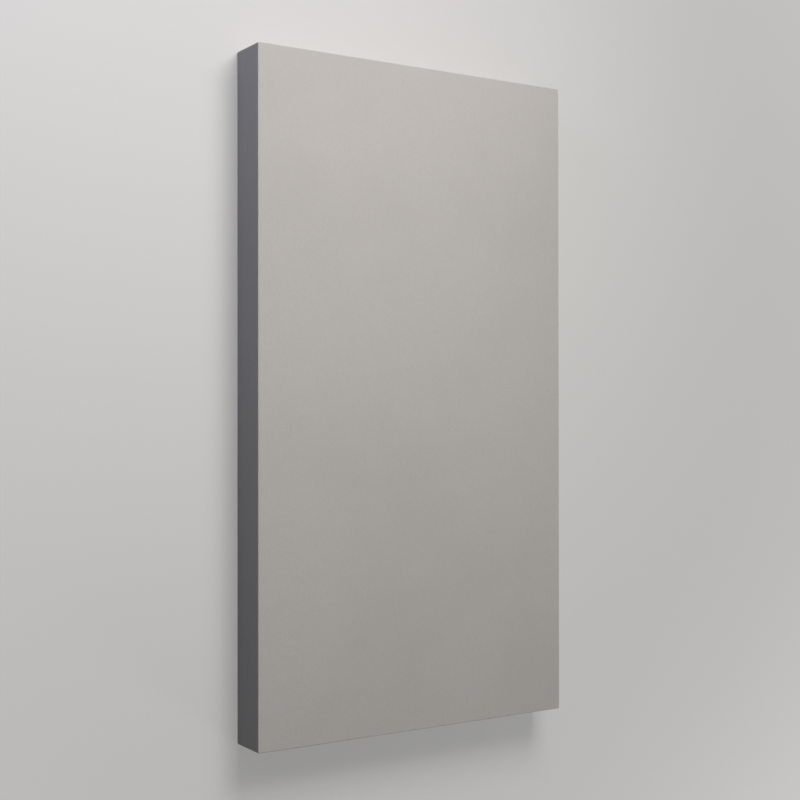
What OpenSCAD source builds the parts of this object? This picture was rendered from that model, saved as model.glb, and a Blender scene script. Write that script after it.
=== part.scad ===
// Acoustic wall panel: one rectangular slab of sound-absorbing board, lying on its back face.
// The origin is the centre of the back face. X runs across the width, Y along the length
// and Z from the back face to the front face. All sizes are in millimetres.

/* [Slab] */
// Length of the slab, along Y
slab_length = 1200; // [600:10:1500]
// Width of the slab, along X
slab_width = 650; // [300:10:1250]
// Thickness of the slab, from the back face to the front face
slab_thickness = 80; // [20:5:120]

/* [Edges] */
// Radius of the arrises that run round the front face and the back face
arris_radius = 1.5; // [0.5:0.25:5]
// How much larger the radius of the four upright corner edges is than the arris radius
corner_extra = 1.5; // [0.5:0.25:10]

/* [Hidden] */
$fn = 48;
// Radius of the four upright corner edges
corner_radius = arris_radius + corner_extra;

// Section through the slab: a rectangle that stands on the X axis, with four rounded corners
module slab_section(span) {
    translate([-span / 2 + arris_radius, 0])
        square([span - 2 * arris_radius, slab_thickness]);
    translate([-span / 2, arris_radius])
        square([span, slab_thickness - 2 * arris_radius]);
    for (x = [-1, 1] * (span / 2 - arris_radius), y = [arris_radius, slab_thickness - arris_radius])
        translate([x, y])
            circle(r = arris_radius);
}

// The section standing upright and run along Y, centred on the origin
module section_along_y(span, run) {
    rotate([90, 0, 0])
        linear_extrude(height = run, center = true)
            slab_section(span);
}

// One rounded corner of the slab, turned about the centre line of its upright edge
module corner_post() {
    rotate_extrude()
        intersection() {
            slab_section(2 * corner_radius);
            square([corner_radius, slab_thickness]);
        }
}

// The whole panel, sawn from one piece
module absorber_slab() {
    color([0.77, 0.75, 0.73]) {
        section_along_y(slab_width, slab_length - 2 * corner_radius);
        rotate([0, 0, 90])
            section_along_y(slab_length, slab_width - 2 * corner_radius);
        for (x = [-1, 1], y = [-1, 1])
            translate([x * (slab_width / 2 - corner_radius), y * (slab_length / 2 - corner_radius), 0])
                corner_post();
    }
}

absorber_slab();
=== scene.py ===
"""An off-white acoustic wall panel: one slab of sawn open-cell foam, lying on its back face on a floor."""

from math import radians

import bpy
from mathutils import Euler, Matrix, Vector


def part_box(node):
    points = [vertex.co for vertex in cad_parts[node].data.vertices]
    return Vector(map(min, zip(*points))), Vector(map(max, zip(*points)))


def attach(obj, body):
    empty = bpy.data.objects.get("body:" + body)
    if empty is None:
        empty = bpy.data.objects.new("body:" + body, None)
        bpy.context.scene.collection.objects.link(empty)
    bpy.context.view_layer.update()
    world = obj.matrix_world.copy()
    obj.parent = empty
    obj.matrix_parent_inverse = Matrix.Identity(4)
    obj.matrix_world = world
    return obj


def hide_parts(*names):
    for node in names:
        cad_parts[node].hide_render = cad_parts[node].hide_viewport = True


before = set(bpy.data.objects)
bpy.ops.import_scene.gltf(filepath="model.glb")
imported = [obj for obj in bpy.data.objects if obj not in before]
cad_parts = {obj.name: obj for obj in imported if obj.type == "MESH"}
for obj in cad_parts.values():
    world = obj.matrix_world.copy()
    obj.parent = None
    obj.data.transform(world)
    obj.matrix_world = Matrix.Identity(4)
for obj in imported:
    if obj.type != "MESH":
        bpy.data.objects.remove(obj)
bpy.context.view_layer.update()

MM = 0.001
SLAB_NODE = "absorber_slab"

# The slab's size, from the frame
slab_low, slab_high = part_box(SLAB_NODE)
slab_size = slab_high - slab_low
slab_centre = (slab_low + slab_high) / 2

# Its edges, and the grid of its faces, which is finer near the edges
ARRIS_RADIUS = 1.5 * MM
CORNER_RADIUS = 3.0 * MM
GRID_CELL = 6.5 * MM
EDGE_ZONE = 15.0 * MM
EDGE_CELLS = 12
EDGE_GRADING = 1.7

# How far the sawn faces, the rubbed arrises, the blunted corners and the knocked corner lie below the
# true shape, and how far the wear and the knock reach
SAWN_HOLLOW = 0.40 * MM
ARRIS_WEAR = 0.80 * MM
CORNER_WEAR = 0.50 * MM
CORNER_KNOCK = 0.80 * MM
WEAR_REACH = 5.0 * MM
KNOCK_REACH = 9.0 * MM

# Where the faces are hollow and where the arrises are rubbed, as soft patches, so many to the metre
HOLLOWS = {"scale": 5.0, "detail": 2.0, "roughness": 0.45}
RUBBED_PATCHES = {"scale": 22.0, "detail": 3.0, "roughness": 0.6}
RUBBED_PATCH_EDGE = (0.45, 0.75)
WEAR_SEED = 4.0
RUBBED_SEED_STEP = 3.0

# The foam's colour, as linear values: a clean patch, a dull one, a rubbed arris that is also a painted
# highlight, and the shade in a pore
FOAM_CLEAN = (0.584, 0.552, 0.520, 1.0)
FOAM_DULL = (0.558, 0.527, 0.494, 1.0)
FOAM_RUBBED_AND_HIGHLIT = (0.700, 0.672, 0.645, 1.0)
FOAM_SHADE = (0.380, 0.353, 0.326, 1.0)
RUBBED_AND_HIGHLIT_SHARE = 0.5

# The foam's pores: how many there are to the metre, where a pore's rim begins and ends as a share of its
# cell, and how deep it is. Where a chance is given, the pores that draw less than its first number from
# 0 to 1 are shut, and those that draw more than its second are open all the way.
SMALL_CELLS = {"to_metre": 1700.0, "rim": (0.10, 0.60), "depth": 0.30}
LARGE_CELLS = {"to_metre": 800.0, "rim": (0.10, 0.60), "depth": 0.50, "chance": (-0.4, 1.0)}
VOIDS = {"to_metre": 60.0, "rim": (0.03, 0.09), "depth": 0.50, "chance": (0.86, 0.90)}

# Other marks on the foam, as soft patches, grains or lines, so many to the metre
CLOUDS = {"scale": 4.0, "detail": 3.0, "roughness": 0.55, "seed": 1.0}
CLOUD_EDGE = (0.35, 0.65)
GRAINS = {"scale": 1900.0, "detail": 2.0, "roughness": 0.6, "seed": 2.0}
SAW_LINES = {"scale": 210.0, "detail": 2.0, "roughness": 0.5, "seed": 5.0}
SAW_LINE_SQUEEZE = (1.0, 0.02, 1.0)

# How high the marks stand as a share of the bump's depth, and how much shallower pores are on an arris
GRAIN_HEIGHT = 0.25
SAW_LINE_HEIGHT = 0.08
ARRIS_SHALLOWING = 0.4
BUMP_STRENGTH = 0.6
BUMP_DEPTH = 0.5 * MM

# The foam's roughness, what the marks add to it, and its weak gloss and sheen
FOAM_ROUGHNESS = 0.88
GRAIN_ROUGHNESS = 0.06
CLOUD_ROUGHNESS = 0.04
FOAM_GLOSS = {"Specular IOR Level": 0.25, "Sheen Weight": 0.08, "Sheen Roughness": 0.6}

# The camera, at the photograph's viewing angle and distance, with its lens and sensor in millimetres
CAMERA_PLACE = Vector((-1.375, -0.019, 2.159))
CAMERA_TURN = Euler((radians(0.377), radians(-32.682), radians(-0.058)))
CAMERA_LENS = 61.94
CAMERA_SENSOR = 36.0

# The lamps. The key lamp stands past the upper end and shines down the slab and to the left, so that the
# face is even from side to side and darker towards its lower end. A weak cool lamp reaches the left edge,
# mostly its upper end, and one near the floor fills in the lower and right edges.
LAMPS = {
    "key_lamp": {
        "place": Vector((0.05, 1.50, 1.77)), "aim": Vector((-3.85, -5.07, 0.0)),
        "width": 1.30, "power": 53.2, "colour": (1.0, 0.985, 0.966)},
    "side_lamp": {
        "place": Vector((-1.25, 1.25, 0.45)), "aim": Vector((-0.325, 0.50, 0.04)),
        "width": 0.50, "power": 4.4, "colour": (0.69, 0.73, 0.99)},
    "fill_lamp": {
        "place": Vector((1.50, -1.90, 0.42)), "aim": Vector((0.0, 0.0, 0.04)),
        "width": 0.60, "power": 10.0, "colour": (0.93, 0.98, 1.0)},
}

# Even light from all round, and what the camera sees in its place
SKY_COLOUR = (0.94, 0.98, 1.02, 1.0)
SKY_STRENGTH = 0.152
BACKDROP_COLOUR = (0.610, 0.600, 0.585, 1.0)

# The floor, which looks paler than the light that it throws back at the slab, and goes over into the
# backdrop's colour between two distances from the slab's middle
FLOOR_SPAN = 60.0
FLOOR_SEEN = (0.775, 0.757, 0.733, 1.0)
FLOOR_BOUNCE = (0.14, 0.14, 0.14, 1.0)
BACKDROP_SHARE_NEAR = 0.35
FLOOR_FADE = (0.6, 1.9)

# Places of the colour sockets on a Mix node, and the least length that is divided by
MIX_FACTOR, MIX_A, MIX_B, MIX_RESULT = 0, 6, 7, 2
TINY = 1e-6


# Nodes and their maths


class Wire:
    """An output socket. Arithmetic on it adds the Math nodes that work the result out."""

    def __init__(self, tree, socket):
        self.tree = tree
        self.socket = socket

    def maths(self, operation, *terms):
        return add_node(self.tree, "ShaderNodeMath", {"operation": operation}, dict(enumerate(terms)))

    def output(self, name):
        return Wire(self.tree, self.socket.node.outputs[name])

    def __add__(self, other):
        return self.maths("ADD", self, other)

    def __radd__(self, other):
        return self.maths("ADD", other, self)

    def __sub__(self, other):
        return self.maths("SUBTRACT", self, other)

    def __rsub__(self, other):
        return self.maths("SUBTRACT", other, self)

    def __mul__(self, other):
        return self.maths("MULTIPLY", self, other)

    def __rmul__(self, other):
        return self.maths("MULTIPLY", other, self)

    def __truediv__(self, other):
        return self.maths("DIVIDE", self, other)

    def __rtruediv__(self, other):
        return self.maths("DIVIDE", other, self)

    def __pow__(self, other):
        return self.maths("POWER", self, other)

    def __rpow__(self, other):
        return self.maths("POWER", other, self)

    def __neg__(self):
        return self.maths("MULTIPLY", self, -1)

    def __abs__(self):
        return self.maths("ABSOLUTE", self)

    def least(self, other):
        return self.maths("MINIMUM", self, other)

    def most(self, other):
        return self.maths("MAXIMUM", self, other)

    def sign(self):
        return self.maths("SIGN", self)

    def ceiling(self):
        return self.maths("CEIL", self)


def add_node(tree, kind, settings=None, sockets=None, output=0):
    """One node: its settings first, then its sockets' values or wires. Returns a wire from its output."""
    node = tree.nodes.new(kind)
    for name, value in (settings or {}).items():
        setattr(node, name, value)
    for name, value in (sockets or {}).items():
        if isinstance(value, Wire):
            tree.links.new(value.socket, node.inputs[name])
        else:
            node.inputs[name].default_value = value
    return Wire(tree, node.outputs[output] if len(node.outputs) else None)


def vector_maths(operation, *terms, output="Vector", **named):
    """One Vector Math node on vectors, of which at least one is a wire, and on its other sockets by name."""
    tree = next(term.tree for term in terms if isinstance(term, Wire))
    sockets = {**dict(enumerate(terms)), **named}
    return add_node(tree, "ShaderNodeVectorMath", {"operation": operation}, sockets, output)


def split(vector):
    """The wires of a vector's three coordinates, by the name of the axis."""
    parts = add_node(vector.tree, "ShaderNodeSeparateXYZ", None, {0: vector})
    return {axis: parts.output(axis) for axis in "XYZ"}


def join(tree, coordinates):
    """A vector from three coordinates, given by the name of the axis."""
    return add_node(tree, "ShaderNodeCombineXYZ", None, coordinates)


def length_of(one, other):
    """The length of a step that goes so far one way and so far the other. It is never 0."""
    return ((one ** 2 + other ** 2) ** 0.5).most(TINY)


def smooth_between(value, low, high):
    """0 below low, 1 above high, and a smooth step between them."""
    sockets = {"Value": value, "From Min": low, "From Max": high}
    return add_node(value.tree, "ShaderNodeMapRange", {"interpolation_type": "SMOOTHSTEP"}, sockets)


def noise(place, scale, detail, roughness, seed):
    """Soft noise from 0 to 1, with scale patches to the metre."""
    sockets = {"Vector": place, "W": seed, "Scale": scale, "Detail": detail, "Roughness": roughness}
    return add_node(place.tree, "ShaderNodeTexNoise", {"noise_dimensions": "4D"}, sockets)


def mix_colours(factor, low, high):
    """The low colour where the factor is 0, and the high colour where it is 1."""
    sockets = {MIX_FACTOR: factor, MIX_A: low, MIX_B: high}
    return add_node(factor.tree, "ShaderNodeMix", {"data_type": "RGBA"}, sockets, MIX_RESULT)


def store(geometry, name, value):
    """The geometry with a number on each point, under a name that the shader can read."""
    settings = {"data_type": "FLOAT", "domain": "POINT"}
    sockets = {"Geometry": geometry, "Name": name, "Value": value}
    return add_node(geometry.tree, "GeometryNodeStoreNamedAttribute", settings, sockets)


def stored(tree, name):
    return add_node(tree, "GeometryNodeInputNamedAttribute", {"data_type": "FLOAT"}, {"Name": name})


# Shape of the slab

SLAB_INPUTS = {
    "Size": tuple(slab_size), "Centre": tuple(slab_centre),
    "Arris radius": ARRIS_RADIUS, "Corner radius": CORNER_RADIUS, "Grid cell": GRID_CELL,
    "Edge zone": EDGE_ZONE, "Edge cells": float(EDGE_CELLS), "Edge grading": EDGE_GRADING,
    "Sawn hollow": SAWN_HOLLOW, "Arris wear": ARRIS_WEAR, "Corner wear": CORNER_WEAR,
    "Corner knock": CORNER_KNOCK, "Wear reach": WEAR_REACH, "Knock reach": KNOCK_REACH, "Seed": WEAR_SEED,
}


def named_inputs(tree):
    """Gives the tree an input for each size and for the foam, and returns their wires by name."""
    for name, value in SLAB_INPUTS.items():
        kind = "NodeSocketVector" if isinstance(value, tuple) else "NodeSocketFloat"
        tree.interface.new_socket(name, in_out="INPUT", socket_type=kind)
    tree.interface.new_socket("Foam", in_out="INPUT", socket_type="NodeSocketMaterial")
    group = add_node(tree, "NodeGroupInput")
    return {name: group.output(name) for name in (*SLAB_INPUTS, "Foam")}


def along_axis(unit, inner_cells, half_size, given):
    """What a grid point's place along one axis means: which side it is on, how far its straight run goes,
    how far it is into the rounded corner, and how near it is to the outer face."""
    zone, corner = given["Edge zone"], given["Corner radius"]
    reach = abs(unit)
    straight = inner_cells / (inner_cells + 2 * given["Edge cells"])
    into_zone = ((reach - straight) / (1 - straight)).most(0)
    from_face = zone * (1 - into_zone).most(0) ** given["Edge grading"]
    inner_run = reach.least(straight) / straight * (half_size - zone)
    return {
        "side": unit.sign(),
        "run": inner_run + (zone - from_face).least(zone - corner),
        "into corner": 1 - (from_face / corner).least(1),
        "near face": 1 - (from_face / given["Wear reach"]).least(1),
    }


def rounded_place(tree, along, given):
    """Where a grid point goes. In plan each corner is a quarter disc, and the arris is rounded across it."""
    arris, corner = given["Arris radius"], given["Corner radius"]
    into = {axis: along[axis]["into corner"] for axis in "XYZ"}
    step_in = corner - arris
    in_plan = into["X"].most(into["Y"])
    plan_length = length_of(into["X"], into["Y"])
    across = (in_plan * corner - step_in).most(0) / arris
    upward = (into["Z"] * corner - step_in).most(0) / arris
    arc = arris * across.most(upward) / length_of(across, upward)
    outward = (in_plan * corner).least(step_in) + arc * across
    rise = (into["Z"] * corner).least(step_in) + arc * upward
    beyond = {"X": outward * into["X"] / plan_length, "Y": outward * into["Y"] / plan_length, "Z": rise}
    return join(tree, {axis: along[axis]["side"] * (along[axis]["run"] + beyond[axis]) for axis in "XYZ"})


def wear_depth(tree, given):
    """How far inward the surface lies: hollow from the saw, rubbed at the arrises, blunted at the corners,
    and knocked at the front face's upper right corner."""
    place, seed = add_node(tree, "GeometryNodeInputPosition"), given["Seed"]
    hollow = noise(place, seed=seed, **HOLLOWS) * given["Sawn hollow"]
    patches = noise(place, seed=seed + RUBBED_SEED_STEP, **RUBBED_PATCHES)
    patches = smooth_between(patches, *RUBBED_PATCH_EDGE)
    rubbed = patches * stored(tree, "arris") ** 2 * given["Arris wear"]
    blunted = stored(tree, "corner") * given["Corner wear"]
    upper_right = vector_maths("SCALE", given["Size"], Scale=0.5)
    from_corner = vector_maths("DISTANCE", place, upper_right, output="Value")
    knocked = (1 - smooth_between(from_corner, 0.0, given["Knock reach"])) * given["Corner knock"]
    return hollow + rubbed + blunted + knocked


def slab_shape_tree():
    """Geometry Nodes that make the sawn slab: a fine grid on a box, rounded at its edges, then worn."""
    tree = bpy.data.node_groups.new("sawn_slab_shape", "GeometryNodeTree")
    tree.interface.new_socket("Geometry", in_out="OUTPUT", socket_type="NodeSocketGeometry")
    given = named_inputs(tree)

    # A grid of vertices on a box of two units a side, with as many narrow rows along every edge
    size, zone = split(given["Size"]), given["Edge zone"]
    inner_cells = {axis: ((size[axis] - 2 * zone) / given["Grid cell"]).ceiling() for axis in "XYZ"}
    counts = {f"Vertices {axis}": inner_cells[axis] + 2 * given["Edge cells"] + 1 for axis in "XYZ"}
    box = add_node(tree, "GeometryNodeMeshCube", None, {"Size": (2.0, 2.0, 2.0), **counts})
    unit = split(add_node(tree, "GeometryNodeInputPosition"))

    along = {axis: along_axis(unit[axis], inner_cells[axis], size[axis] / 2, given) for axis in "XYZ"}
    rounded = rounded_place(tree, along, given)
    shaped = add_node(tree, "GeometryNodeSetPosition", None, {"Geometry": box, "Position": rounded})

    # An arris is where a point is near two faces, and a corner where it is near three
    faces_near = along["X"]["near face"] + along["Y"]["near face"] + along["Z"]["near face"]
    marked = store(shaped, "arris", (faces_near - 1).most(0).least(1))
    marked = store(marked, "corner", (faces_near - 2).most(0))

    normal = add_node(tree, "GeometryNodeInputNormal")
    inward = vector_maths("SCALE", normal, Scale=-wear_depth(tree, given))
    worn = add_node(tree, "GeometryNodeSetPosition", None, {"Geometry": marked, "Offset": inward})
    placement = {"Geometry": worn, "Translation": given["Centre"]}
    placed = add_node(tree, "GeometryNodeTransform", None, placement)
    smoothed = add_node(tree, "GeometryNodeSetShadeSmooth", None, {"Geometry": placed})
    realized = add_node(tree, "GeometryNodeRealizeInstances", None, {"Geometry": smoothed})
    finish = {"Geometry": realized, "Material": given["Foam"]}
    finished = add_node(tree, "GeometryNodeSetMaterial", None, finish)
    add_node(tree, "NodeGroupOutput", None, {0: finished})
    return tree


def sawn_slab(foam):
    """The foam slab as a plain mesh."""
    base = bpy.data.meshes.new("slab_base")
    maker = bpy.data.objects.new("slab_maker", base)
    bpy.context.scene.collection.objects.link(maker)
    modifier = maker.modifiers.new("shape", "NODES")
    modifier.node_group = slab_shape_tree()
    values = {**SLAB_INPUTS, "Foam": foam}
    for item in modifier.node_group.interface.items_tree:
        if item.in_out == "INPUT":
            modifier[item.identifier] = values[item.name]
    evaluated = maker.evaluated_get(bpy.context.evaluated_depsgraph_get())
    mesh = bpy.data.meshes.new_from_object(evaluated)
    mesh.name = "foam_slab"
    bpy.data.objects.remove(maker)
    slab = bpy.data.objects.new("foam_slab", mesh)
    bpy.context.scene.collection.objects.link(slab)
    return slab


# Materials


def new_material(name):
    """A material with an empty node tree, and that tree."""
    material = bpy.data.materials.new(name)
    material.use_nodes = True
    material.node_tree.nodes.clear()
    return material, material.node_tree


def pores(place, to_metre, rim, depth, chance=None):
    """Round pores: their depth in the middle of each, and 0 on the walls between them."""
    cells = add_node(place.tree, "ShaderNodeTexVoronoi", None, {"Vector": place, "Scale": to_metre})
    pore = 1 - smooth_between(cells, *rim)
    if chance:
        drawn = add_node(place.tree, "ShaderNodeSeparateColor", None, {0: cells.output("Color")})
        pore = pore * smooth_between(drawn, *chance)
    return depth * pore


def open_cell_foam():
    """Matt off-white foam: fine open cells, a few voids, faint saw lines, and arrises painted paler as
    rubbed wear and as a painted highlight.
    """
    material, tree = new_material("open_cell_foam")
    place = add_node(tree, "ShaderNodeTexCoord", None, None, "Object")
    arris = add_node(tree, "ShaderNodeAttribute", {"attribute_name": "arris"}, None, "Fac")

    depth = (pores(place, **SMALL_CELLS) + pores(place, **LARGE_CELLS) + pores(place, **VOIDS)).least(1)
    clouds = smooth_between(noise(place, **CLOUDS), *CLOUD_EDGE)
    grain = noise(place, **GRAINS)
    squeezed = add_node(tree, "ShaderNodeMapping", None, {"Vector": place, "Scale": SAW_LINE_SQUEEZE})
    saw_lines = noise(squeezed, **SAW_LINES)

    foam = mix_colours(clouds, FOAM_DULL, FOAM_CLEAN)
    # The arrises are painted paler: partly rubbed wear, partly a painted highlight along the edges
    foam = mix_colours(arris ** 2 * RUBBED_AND_HIGHLIT_SHARE, foam, FOAM_RUBBED_AND_HIGHLIT)
    roughness = FOAM_ROUGHNESS + GRAIN_ROUGHNESS * grain + CLOUD_ROUGHNESS * clouds
    height = GRAIN_HEIGHT * grain + SAW_LINE_HEIGHT * saw_lines - depth * (1 - ARRIS_SHALLOWING * arris)
    relief = {"Strength": BUMP_STRENGTH, "Distance": BUMP_DEPTH, "Height": height}
    shader = add_node(tree, "ShaderNodeBsdfPrincipled", None, {
        "Base Color": mix_colours(depth, foam, FOAM_SHADE), "Roughness": roughness,
        "Normal": add_node(tree, "ShaderNodeBump", None, relief), **FOAM_GLOSS})
    add_node(tree, "ShaderNodeOutputMaterial", None, {"Surface": shader})
    return material


def seen_directly(tree):
    """1 for what is seen, also in a reflection or through glass, and 0 for light thrown on others."""
    path = add_node(tree, "ShaderNodeLightPath")
    camera, glossy, through = (path.output(f"Is {ray} Ray") for ray in ("Camera", "Glossy", "Transmission"))
    return camera.most(glossy).most(through)


def pale_floor_finish():
    """A pale matt floor that throws little of its light back at the slab's shaded side."""
    material, tree = new_material("pale_floor_finish")
    seen = seen_directly(tree)
    colour = mix_colours(seen, FLOOR_BOUNCE, FLOOR_SEEN)
    matt = add_node(tree, "ShaderNodeBsdfDiffuse", None, {"Color": colour})
    place = add_node(tree, "ShaderNodeTexCoord", None, None, "Object")
    faded = smooth_between(vector_maths("LENGTH", place, output="Value"), *FLOOR_FADE)
    share = BACKDROP_SHARE_NEAR + (1 - BACKDROP_SHARE_NEAR) * faded
    backdrop = add_node(tree, "ShaderNodeEmission", None, {"Color": BACKDROP_COLOUR})
    shader = add_node(tree, "ShaderNodeMixShader", None, {0: seen * share, 1: matt, 2: backdrop})
    add_node(tree, "ShaderNodeOutputMaterial", None, {"Surface": shader})
    return material


# Studio


def make_camera():
    data = bpy.data.cameras.new("camera")
    data.sensor_width = CAMERA_SENSOR
    data.lens = CAMERA_LENS
    camera = bpy.data.objects.new("camera", data)
    camera.location = CAMERA_PLACE
    camera.rotation_euler = CAMERA_TURN
    bpy.context.scene.collection.objects.link(camera)
    bpy.context.scene.camera = camera


def make_lamp(name, place, aim, width, power, colour):
    """A square lamp that faces the point at which it is aimed, and that the camera doesn't see."""
    data = bpy.data.lights.new(name, "AREA")
    data.shape = "SQUARE"
    data.size = width
    data.energy = power
    data.color = colour
    lamp = bpy.data.objects.new(name, data)
    lamp.location = place
    lamp.rotation_euler = (aim - place).to_track_quat("-Z", "Y").to_euler()
    lamp.visible_camera = False
    bpy.context.scene.collection.objects.link(lamp)


def make_sky():
    """A world that lights evenly from all round, and shows the camera the backdrop's colour."""
    world = bpy.data.worlds.new("sky")
    world.use_nodes = True
    bpy.context.scene.world = world
    tree = world.node_tree
    tree.nodes.clear()
    light = add_node(tree, "ShaderNodeBackground", None, {"Color": SKY_COLOUR, "Strength": SKY_STRENGTH})
    backdrop = add_node(tree, "ShaderNodeBackground", None, {"Color": BACKDROP_COLOUR})
    chosen = add_node(tree, "ShaderNodeMixShader", None, {0: seen_directly(tree), 1: light, 2: backdrop})
    add_node(tree, "ShaderNodeOutputWorld", None, {"Surface": chosen})


def make_floor():
    half = FLOOR_SPAN / 2
    mesh = bpy.data.meshes.new("floor")
    corners = [(-half, -half), (half, -half), (half, half), (-half, half)]
    mesh.from_pydata([(x, y, slab_low.z) for x, y in corners], [], [(0, 1, 2, 3)])
    mesh.materials.append(pale_floor_finish())
    floor = bpy.data.objects.new("floor", mesh)
    bpy.context.scene.collection.objects.link(floor)


make_camera()
for lamp_name, lamp_values in LAMPS.items():
    make_lamp(lamp_name, **lamp_values)
make_sky()
make_floor()
bpy.context.scene.view_settings.view_transform = "Standard"

slab = sawn_slab(open_cell_foam())
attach(slab, "root")
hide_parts(SLAB_NODE)
